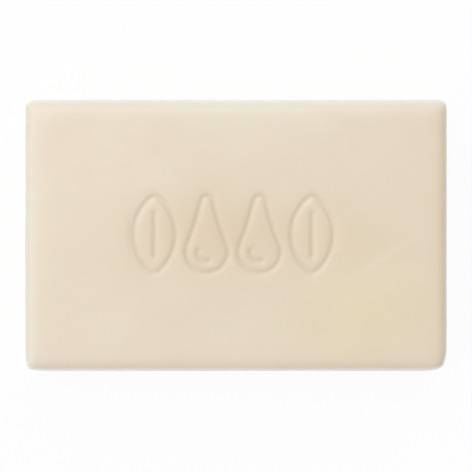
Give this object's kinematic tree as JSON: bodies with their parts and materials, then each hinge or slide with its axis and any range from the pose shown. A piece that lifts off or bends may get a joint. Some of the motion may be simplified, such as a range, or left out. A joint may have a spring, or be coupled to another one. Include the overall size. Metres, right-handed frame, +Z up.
{
  "type": "bar of soap",
  "caption": "Bar of milled soap: a drafted, softly crowned slab with rounded edges, a parting bead and a shallow pressed row of leaf and drop outlines on one broad face.",
  "frame": {"origin": "middle of the broad back face that the bar lies on, under the middle of the bar", "axes": "+X along the length, +Y across the width, +Z up out of the pressed face"},
  "size_m": [0.0922, 0.0592, 0.025],
  "materials": {
    "soap": "cream milled soap with a waxy, satin skin"
  },
  "bodies": {
    "root": {"soap_bar": "soap"}
  },
  "joints": []
}
